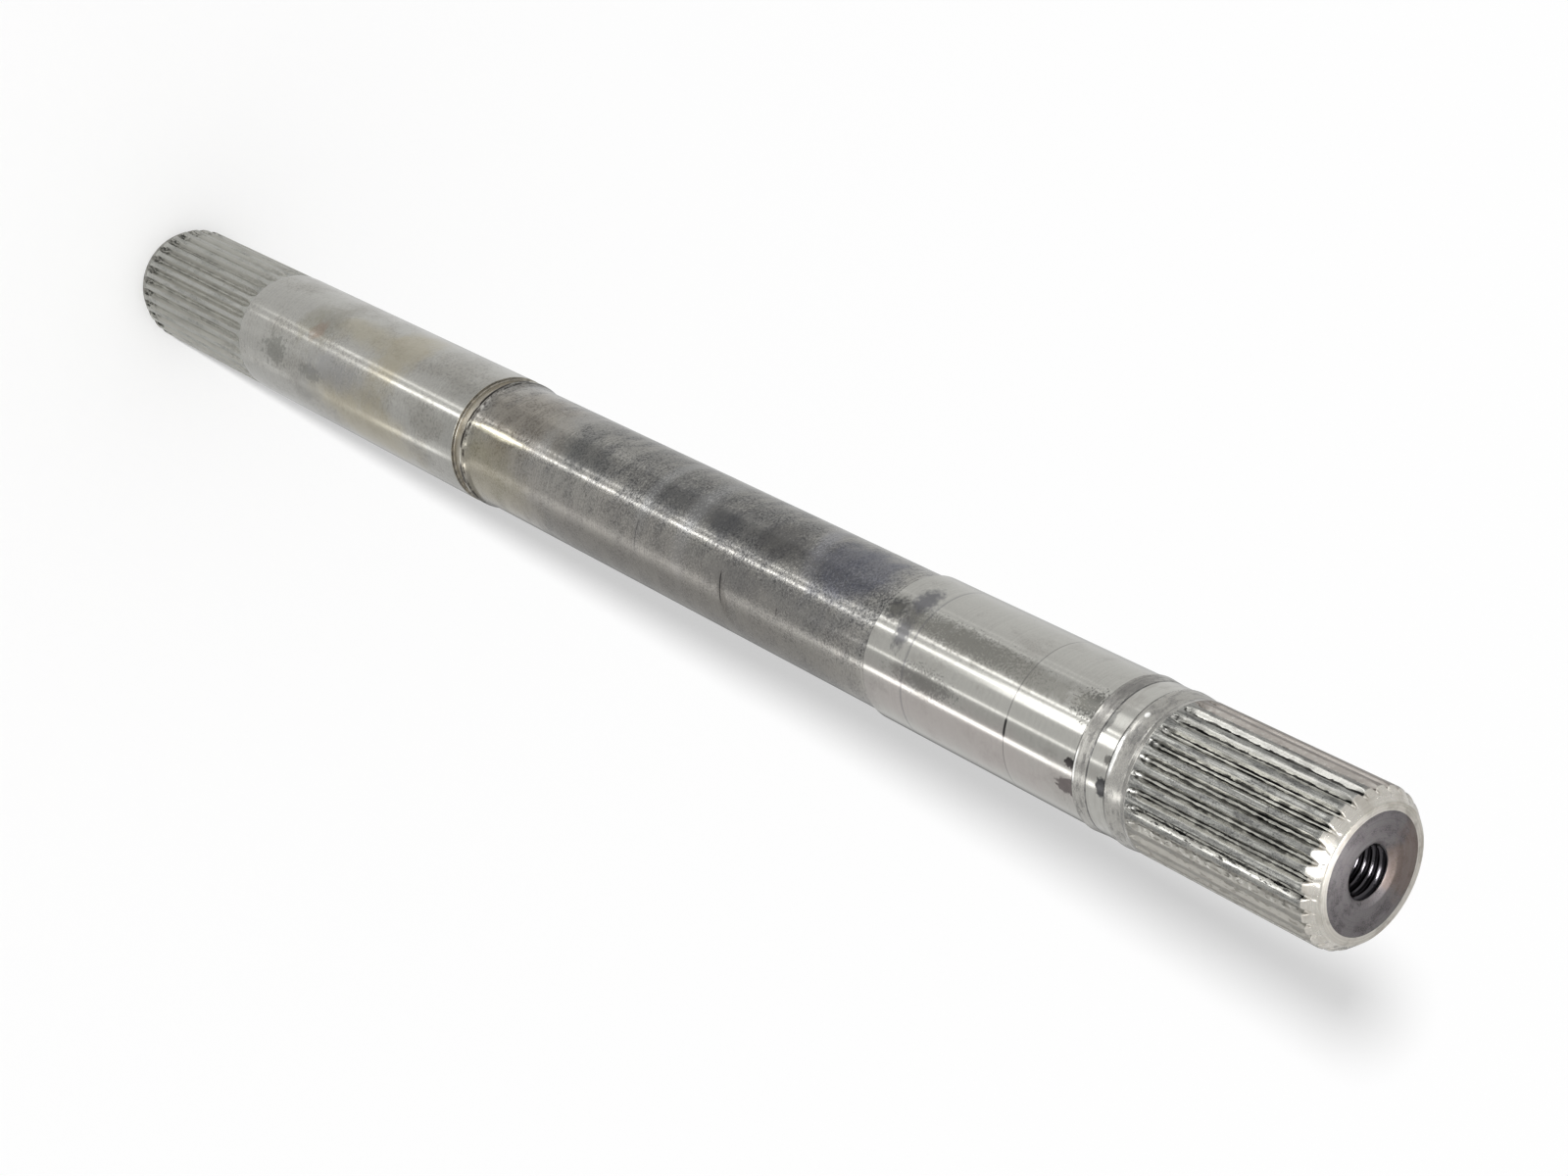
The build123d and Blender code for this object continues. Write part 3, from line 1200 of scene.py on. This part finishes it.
FAR_STAINS = (
    Stain(34, 130.5, 34, 8.5, TAN, 0.5, Edge(0.7, 4.0, 0.5, 0.02)),
    Stain(-12, 128.5, 22, 6.0, lin(168, 160, 138), 0.35, Edge(0.9, 3.0, 0.5, 0.02)),
    Stain(-50, 124.5, 30, 20, lin(186, 176, 146), 0.5, Edge(0.8, 8.0, 0.6, 0.02), 0.25),
    Stain(32, 111.5, 14, 12, lin(184, 176, 150), 0.5, Edge(0.8, 6.0, 0.6, 0.02)),
    Stain(26, 96.0, 26, 5.5, lin(136, 132, 116), 0.4, Edge(1.1, 2.0, 0.5)),
    Stain(14, 94.0, 9, 2.6, lin(150, 120, 100), 0.4, Edge(0.9, 2.0, 0.6)),
    Stain(22, 88.5, 20, 4.0, lin(150, 146, 128), 0.4, Edge(0.9, 4.0, 0.5)),
    Stain(-26.5, 97.7, 7, 5.6, lin(112, 112, 108), 0.5, Edge(1.2, 1.2, 0.3)),
    Stain(-22, 78.4, 13, 5.4, lin(114, 115, 108), 0.5, Edge(1.5, 1.2, 0.3)),
    Stain(-16, 110.5, 14, 13, lin(158, 158, 160), 0.5, Edge(0.8, 5.0, 0.6)),
    Stain(-44, 94.5, 12, 7.0, lin(140, 138, 132), 0.4, Edge(0.8, 5.0)),
)


def finishes(form: ShaftForm) -> dict[Zone, SteelFinish]:
    """Gives the finish of each zone, as the worn shaft shows it.

    Args:
        form: the shaft's sizes.

    Returns:
        The finishes.
    """
    journal_marks = (
        Mark(367.0, 0.22, lin(110, 108, 108), 0.5),
        Mark(367.0, 0.5, BLACK, 0.9, -24, 8),
        Mark(336.1, 0.45, lin(120, 120, 124), 0.4),
        # Ragged dark line in the corner under the rim's step: painted shade
        Mark(form.taper_z - 0.12, 0.3, BLACK, 0.92, uneven=0.5),
    )
    body_marks = (
        Mark(274.5, 0.3, BLACK, 0.85, -30, 16, 0.02),
        Mark(294.3, 0.25, BLACK, 0.6, -27, 4),
        Mark(242.5, 0.25, lin(60, 60, 64), 0.5, -22, 16),
        # Painted shade in the corner under the journal's step
        Mark(form.body_top_z - 0.1, 0.35, BLACK, 0.85, uneven=0.4),
        # Painted shade along the lip's edge
        Mark(form.lip_top_z + 0.5, 0.5, lin(40, 36, 32), 0.9, uneven=0.9),
    )
    steel, grey = lin(198, 197, 191), lin(186, 184, 178)
    return {
        # Near-black steel: painted shade of the deep hole over oily steel, with lighter bare crests
        Zone.BORE: SteelFinish(
            lin(34, 32, 35), lin(22, 21, 24), 0.24, 0.4, 3.0, 3.0,
            crest_radius=form.thread.crest_radius + 0.05, turning=0.0,
        ),
        Zone.END_FACE: SteelFinish(
            lin(116, 112, 113), lin(106, 101, 102), 0.45, 0.55, 4.0, 4.0, turning=0.16, turning_step=0.35,
            stains=(Stain(150, form.length, 40, 9, lin(116, 100, 90), 0.5, Edge(0.8, 3.0)),), grain=0.8,
            grain_size=0.22, relief=(Relief(40.0, 0.5, 0.004, 3.0), Relief(0.6, 0.6, 0.008)),
        ),
        Zone.FACE_RING: SteelFinish(
            lin(200, 196, 188), lin(178, 173, 164), 0.4, 0.5, 3.0, 3.0, specks=0.1, turning=0.15,
            turning_step=0.3, relief=(Relief(1.0, 1.0, 0.008, 3.0),),
        ),
        Zone.CHAMFER: SteelFinish(
            lin(212, 208, 200), lin(196, 191, 182), 0.25, 0.34, 3.0, 3.0, specks=0.08,
            relief=(Relief(1.2, 1.0, 0.008, 3.0), Relief(40.0, 0.6, 0.003)),
        ),
        Zone.NEAR_SPLINE: SteelFinish(
            lin(170, 170, 165), lin(142, 142, 139), 0.24, 0.36, 1.2, 4.0, turning=0.0, grain=0.55,
            grain_size=0.35, specks=0.7, speck_size=0.45, teeth=near_teeth(form), relief=NICKS,
            streaks=0.45,
            stains=(
                Stain(76, form.length - 22, 18, 60, lin(150, 142, 136), 0.75, Edge(0.8, 0.8, 0.35, 0.15)),
                Stain(-67, form.length - 22, 22, 60, lin(154, 151, 144), 0.8, Edge(0.9, 0.9, 0.35, 0.15)),
            ),
            marks=(
                Mark(form.length - 2.2, 0.4, lin(70, 68, 66), 0.5, uneven=0.9),
            ),
        ),
        Zone.COLLAR: SteelFinish(
            lin(188, 186, 180), lin(164, 162, 158), 0.2, 0.3, 3.0, 1.2, turning=0.1, turning_step=0.4,
            stains=(
                Stain(12, form.collar_z + 2.6, 6, 1.2, lin(90, 90, 92), 0.4, Edge(1.2, 1.5)),
                # Painted highlights: a white crescent along the rim, and a glint
                Stain(-5, form.collar_z + 0.5, 15, 0.5, PAINTED_HIGHLIGHT, 1.0, Edge(0.3, 1.5, 0.35, -0.1)),
                Stain(28.5, form.collar_z + 1.6, 2.2, 0.5, PAINTED_HIGHLIGHT, 1.0, Edge(0.2, 1.5, 0.35, -0.1)),
            ),
            marks=(Mark(form.near_spline_z - 0.9, 0.3, lin(92, 92, 92), 0.5, uneven=0.6),),
            grain=0.25, grain_size=0.6,
        ),
        Zone.PLAIN_BAND: SteelFinish(
            steel, grey, 0.12, 0.16, 5.0, 2.0, turning=0.08, turning_step=0.4,
            stains=(
                Stain(-31, form.collar_z - 1.1, 7, 1.4, lin(40, 40, 46), 0.88, Edge(0.6, 0.9, 0.2)),
                Stain(-11, form.collar_z - 0.8, 3, 1.0, lin(60, 58, 56), 0.7, Edge(1.0, 0.8)),
                Stain(14, form.plain_z + 0.6, 9, 0.7, lin(70, 70, 70), 0.6, Edge(1.0, 0.8)),
            ),
            marks=(
                # Painted shade in the corners under the collar's rim and above the taper band's foot
                Mark(form.collar_z - 0.12, 0.36, BLACK, 0.96, uneven=0.3),
                Mark(form.plain_z + 0.06, 0.22, SOOT_AND_SHADE, 0.8, uneven=0.4),
            ),
        ),
        Zone.TAPER_BAND: SteelFinish(
            lin(190, 188, 182), lin(160, 158, 154), 0.18, 0.28, 2.5, 1.0, turning=0.2, turning_step=0.3,
            grain=0.3, grain_size=0.5,
            stains=(Stain(38, form.taper_z + 1.6, 30, 1.6, lin(124, 122, 120), 0.6, Edge(0.8, 1.2)),),
            marks=(
                # Painted shade in the corner at the plain band
                Mark(form.plain_z - 0.05, 0.2, SOOT_AND_SHADE, 0.75, uneven=0.4),
                # Painted highlight along the rim's rounded edge
                Mark(form.taper_z + 0.35, 0.3, PAINTED_HIGHLIGHT, 0.9, -24, 14),
            ),
        ),
        Zone.NEAR_JOURNAL: SteelFinish(
            lin(192, 191, 185), lin(180, 178, 172), 0.12, 0.16, 7.0, 9.0, 0.2, 0.5, 0.75, turning=0.06,
            turning_step=0.5, grain=0.12, grain_size=0.5, stains=JOURNAL_STAINS, marks=journal_marks,
        ),
        Zone.BODY: SteelFinish(
            lin(187, 185, 179), lin(163, 162, 159), 0.09, 0.15, 7.0, 5.0, 0.3, 0.39, 0.64, 0.6,
            turning=0.28, turning_step=0.45, specks=0.38, speck_size=0.9, grain=0.66, grain_size=0.5,
            stains=BODY_STAINS, marks=body_marks, relief=PATINA,
        ),
        # Near-black dull patches and the dark marks: painted shade and dark reflection along the lip's rim,
        # broken by glints of the bright steel
        Zone.LIP: SteelFinish(
            lin(214, 210, 198), lin(60, 55, 50), 0.2, 0.4, 5.0, 2.0, mottle_from=0.4, mottle_to=0.5,
            marks=(
                Mark(form.lip_z + 0.4, 0.5, lin(34, 30, 28), 0.92, 42, 24, uneven=0.3),
                Mark(form.lip_z + 0.4, 0.5, lin(34, 30, 28), 0.8, -14, 12, uneven=0.5),
            ),
        ),
        Zone.GROOVE: SteelFinish(
            lin(196, 190, 176), lin(170, 162, 146), 0.32, 0.45, 4.0, 2.0, turning=0.2,
            marks=(
                # Painted shade in the groove's corners, against the lip and against the journal
                Mark(form.lip_z - 0.05, 0.4, BLACK, 0.9, uneven=0.5),
                Mark(form.groove_z + 0.05, 0.25, SOOT_AND_SHADE, 0.6, uneven=0.6),
            ),
            relief=NICKS,
        ),
        Zone.FAR_JOURNAL: SteelFinish(
            lin(190, 189, 183), lin(176, 174, 167), 0.14, 0.2, 9.0, 14.0, 0.2, 0.42, 0.68, turning=0.06,
            turning_step=0.7, grain=0.22, grain_size=0.7, stains=FAR_STAINS,
        ),
        Zone.FAR_SPLINE: SteelFinish(
            lin(182, 182, 176), lin(166, 166, 160), 0.36, 0.45, 3.0, 9.0, turning=0.0, grain=0.25,
            grain_size=0.8, teeth=far_teeth(form), relief=NICKS,
        ),
        Zone.FAR_CHAMFER: SteelFinish(
            lin(156, 155, 149), lin(128, 127, 121), 0.5, 0.6, 2.0, 2.0, turning=0.15, grain=0.4,
            relief=NICKS,
        ),
        Zone.FAR_FACE: SteelFinish(
            lin(140, 137, 132), lin(100, 96, 92), 0.4, 0.55, 5.0, 5.0, turning=0.25, turning_step=0.45,
            relief=(Relief(40.0, 0.5, 0.006, 3.0),),
        ),
    }


@dataclass(frozen=True)
class Strip:
    """A strip of the reflection card: its bearing and brightness, and how near and far it reaches."""

    bearing: float
    half_width: float
    edge: float
    light: float
    near: float
    far: float


@dataclass(frozen=True)
class Camera:
    """The photograph's viewing angle."""

    place: tuple[float, float, float] = (0.0, -0.4459, 0.7314)
    right: tuple[float, float, float] = (-0.44776, 0.63779, 0.62667)
    up: tuple[float, float, float] = (-0.89414, -0.31729, -0.31596)
    back: tuple[float, float, float] = (-0.00267, -0.70182, 0.71236)
    lens: float = 65.41
    sensor: float = 36.0
    clip: tuple[float, float] = (0.01, 50.0)

    def set_up(self) -> None:
        """Adds the camera and makes it the scene's."""
        data = bpy.data.cameras.new("camera")
        data.lens, data.sensor_width = self.lens, self.sensor
        data.clip_start, data.clip_end = self.clip
        camera = add_object("camera", data)
        turned = Matrix((self.right, self.up, self.back)).transposed().to_4x4()
        camera.matrix_world = Matrix.Translation(self.place) @ turned
        bpy.context.scene.camera = camera


@dataclass(frozen=True)
class Studio:
    """Floor, world, key lamp and the cards that the steel reflects, for a shaft's height in metres."""

    shaft_top: float

    # The floor's colour and radius, and the world's brightness for plain and for mirrored light
    FLOOR, FLOOR_RADIUS = (0.98, 0.98, 0.98), 6.0
    DIFFUSE, GLOSSY = 0.61, 0.8
    # The card's brightness, its radii and height in metres, and the strips' soft ends in millimetres
    CARD = 0.72
    CARD_RADIUS, CARD_HOLE, CARD_HEIGHT = 2.5, 0.019, 0.0006
    STRIP_FADE = 15.0
    # Behind the shaft: brightness on the +X and the -X side, where it changes, and from which bearings on
    BACK_LOW, BACK_HIGH, BACK_REACH = 0.22, 0.6, 60.0
    BACK_FROM, BACK_FULL = 140.0, 165.0
    DISC_SIDES = 64
    # The key lamp's strength, its width, its bearing and its angle above the level
    KEY_ENERGY, KEY_WIDTH, KEY_TURN, KEY_RISE = 2.5, 3.0, -4.5, 30.5
    # Round cards: name, bearing, angle above the level, radius, brightness and distance from the near end
    BOXES = (
        ("chamfer_softbox", 16, 39, 0.42, 4.5, 1.2),
        ("tooth_softbox", 16, 10, 0.3, 4.5, 1.2),
        ("thread_card", 2, 81.5, 0.0042, 32.0, 0.0202),
    )
    STRIPS = (
        Strip(42.0, 18.0, 3.0, 0.62, 345, 540),
        Strip(-47.0, 12.5, 3.0, 0.57, 345, 540),
        Strip(42.0, 18.0, 4.0, 0.55, 130, 345),
        Strip(-47.0, 12.5, 4.0, 0.52, 130, 345),
        Strip(40.0, 18.0, 6.0, 0.7, 30, 130),
        Strip(-44.0, 12.0, 6.0, 0.64, 30, 130),
        Strip(115.0, 40.0, 15.0, 0.8, 345, 540),
        Strip(-115.0, 40.0, 15.0, 0.72, 345, 540),
        Strip(115.0, 40.0, 15.0, 0.58, 170, 345),
        Strip(-115.0, 40.0, 15.0, 0.39, 170, 345),
        Strip(115.0, 40.0, 15.0, 0.78, 30, 170),
        Strip(-115.0, 40.0, 15.0, 0.64, 30, 170),
        Strip(-30.0, 27.0, 4.0, 0.55, 130, 345),
        Strip(-17.0, 20.0, 4.0, 1.4, 560, 760),
        Strip(33.0, 9.0, 3.0, 3.0, 530, 760),
        Strip(52.0, 8.0, 4.0, 1.2, 560, 760),
        Strip(-59.0, 5.0, 3.0, 2.6, 700, 1600),
        Strip(2.4, 1.75, 0.6, 3.4, 345, 560),
        Strip(2.4, 1.3, 0.5, 5.4, 150, 345),
        Strip(2.4, 1.7, 0.6, 4.4, 105, 150),
        Strip(2.4, 1.5, 0.7, 2.2, 62, 105),
        Strip(1.0, 7.0, 1.2, 3.0, 440, 545),
        Strip(14.4, 1.5, 0.6, 3.0, 345, 560),
        Strip(13.0, 1.0, 0.6, 3.0, 240, 345),
        Strip(14.4, 1.4, 0.6, 2.2, 65, 240),
        Strip(-32.0, 1.5, 0.7, 2.2, 350, 560),
        Strip(-64.0, 2.9, 0.8, 3.0, 345, 560),
        Strip(-64.0, 6.0, 5.0, 0.8, 130, 345),
        Strip(-74.0, 3.2, 1.2, 3.4, 112, 130),
        Strip(-74.0, 2.6, 1.2, 1.5, 60, 112),
        Strip(-76.0, 5.0, 4.0, 0.8, 50, 112),
        Strip(59.0, 1.2, 1.0, 1.1, 345, 560),
        Strip(67.0, 1.2, 1.0, 1.0, 345, 560),
    )

    def floor(self) -> None:
        """Adds the pale floor."""
        made, graph = new_material("pale_floor")
        graph.end("ShaderNodeBsdfDiffuse", {0: (*self.FLOOR, 1.0)})
        self.disc("floor", self.FLOOR_RADIUS, made)

    def disc(self, name: str, radius: float, material: bpy.types.Material, hole: float = 0.0,
             z: float = 0.0) -> bpy.types.Object:
        """Adds a flat disc or ring round the shaft's axis, as part of the stage.

        Args:
            name: the object's name.
            radius: its outer radius in metres.
            material: its material.
            hole: its inner radius in metres, or 0.
            z: its height in metres.

        Returns:
            The object.
        """
        sides = list(range(self.DISC_SIDES))
        turns = [2 * math.pi * side / self.DISC_SIDES for side in sides]
        points = [(radius * math.cos(turn), radius * math.sin(turn), z) for turn in turns]
        faces = [tuple(sides)]
        if hole:
            points += [(hole * math.cos(turn), hole * math.sin(turn), z) for turn in turns]
            faces = Skin.strip(sides, [side + self.DISC_SIDES for side in sides])
        mesh = bpy.data.meshes.new(name)
        mesh.from_pydata(points, [], faces)
        mesh.materials.append(material)
        made = add_object(name, mesh)
        made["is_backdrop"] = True
        return made

    @staticmethod
    def glow(name: str) -> tuple[bpy.types.Material, Graph]:
        """Makes an empty material for a card, which is no lamp for the renderer."""
        made, graph = new_material(name)
        made.cycles.emission_sampling = "NONE"
        return made, graph

    @staticmethod
    def only_reflected(card: bpy.types.Object) -> None:
        """Hides a card from all but reflections."""
        card.visible_camera = card.visible_diffuse = card.visible_shadow = card.visible_transmission = False

    def card(self) -> None:
        """Adds the ring-shaped card above the floor, with brighter and darker strips."""
        made, graph = self.glow("reflection_card")
        space, fade = ShaftSpace(graph), self.STRIP_FADE
        light: Number = self.CARD
        for strip in self.STRIPS:
            inside, outside = strip.half_width - strip.edge, strip.half_width + strip.edge
            share = abs(space.phi - strip.bearing).ramp(outside, inside)
            share = share * space.radius.ramp(strip.near - fade, strip.near + fade)
            share = share * space.radius.ramp(strip.far + fade, strip.far - fade)
            light = share * (strip.light - light) + light
        behind = abs(space.phi).ramp(self.BACK_FROM, self.BACK_FULL)
        level = space.x.ramp(self.BACK_REACH, -self.BACK_REACH, self.BACK_LOW, self.BACK_HIGH)
        graph.end("ShaderNodeEmission", {"Strength": behind * (level - light) + light})
        ring = self.disc("reflection_card", self.CARD_RADIUS, made, self.CARD_HOLE, self.CARD_HEIGHT)
        self.only_reflected(ring)

    def softbox(self, name: str, turn: float, rise: float, radius: float, light: float,
                away: float) -> None:
        """Adds a round card that faces the near end.

        Args:
            name: the card's name.
            turn: its bearing from -Y towards +X, in degrees.
            rise: its angle above the level, in degrees.
            radius: its radius in metres.
            light: its brightness.
            away: its distance from the near end in metres.
        """
        made, graph = self.glow(name)
        graph.end("ShaderNodeEmission", {"Strength": light})
        box = self.disc(name, radius, made)
        way = self.way(turn, rise)
        turned = way.to_track_quat("Z", "Y").to_matrix().to_4x4()
        box.matrix_world = Matrix.Translation(way * away + Vector((0, 0, self.shaft_top))) @ turned
        self.only_reflected(box)

    @staticmethod
    def way(turn: float, rise: float) -> Vector:
        """Gives a direction from its bearing from -Y towards +X and its angle above the level, in degrees."""
        turn, rise = math.radians(turn), math.radians(rise)
        return Vector((math.sin(turn) * math.cos(rise), -math.cos(turn) * math.cos(rise), math.sin(rise)))

    def key(self) -> None:
        """Adds the key lamp, which comes from the camera's side and casts the shadow."""
        data = bpy.data.lights.new("key", "SUN")
        data.energy, data.angle = self.KEY_ENERGY, math.radians(self.KEY_WIDTH)
        lamp = add_object("key", data)
        lamp.rotation_euler = self.way(self.KEY_TURN, self.KEY_RISE).to_track_quat("Z", "Y").to_euler()
        lamp.visible_glossy = False

    def world(self) -> None:
        """Sets an even world, white where the camera sees it."""
        world = bpy.data.worlds.new("studio")
        world.use_nodes = True
        bpy.context.scene.world = world
        graph = Graph(world.node_tree)
        rays = graph.node("ShaderNodeLightPath").outputs
        seen, mirrored = Wrap(graph, rays["Is Camera Ray"]), Wrap(graph, rays["Is Glossy Ray"])
        light = seen * (1.0 - self.DIFFUSE) + mirrored * (self.GLOSSY - self.DIFFUSE) + self.DIFFUSE
        graph.end("ShaderNodeBackground", {0: (1.0, 1.0, 1.0, 1.0), 1: light}, "ShaderNodeOutputWorld")

    def set_up(self) -> None:
        """Builds the whole studio."""
        self.floor()
        self.card()
        for box in self.BOXES:
            self.softbox(*box)
        self.key()
        self.world()


def size_lines(title: str) -> dict[str, list[float]]:
    """Measures the scene.

    Args:
        title: when it is measured.

    Returns:
        The lowest and highest corner, in metres.
    """
    low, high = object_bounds()
    return {title: [round(value, 6) for value in (*low, *high)]}


def main() -> None:
    """Builds the shaft and its studio in order."""
    logging.basicConfig(level=logging.INFO, format="%(message)s")
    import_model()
    sizes = size_lines("packed")
    bpy.context.scene.view_settings.view_transform = "Standard"
    low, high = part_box(NODE)
    form = ShaftForm(length=round((high.z - low.z) / MM, 3))
    materials = {zone: finish.material(zone.value) for zone, finish in finishes(form).items()}
    Shaft(form).build(materials)
    Studio(form.length * MM).set_up()
    Camera().set_up()
    sizes |= size_lines("dressed")
    log.info("sizes: %s", sizes)


if __name__ == "__main__":
    main()
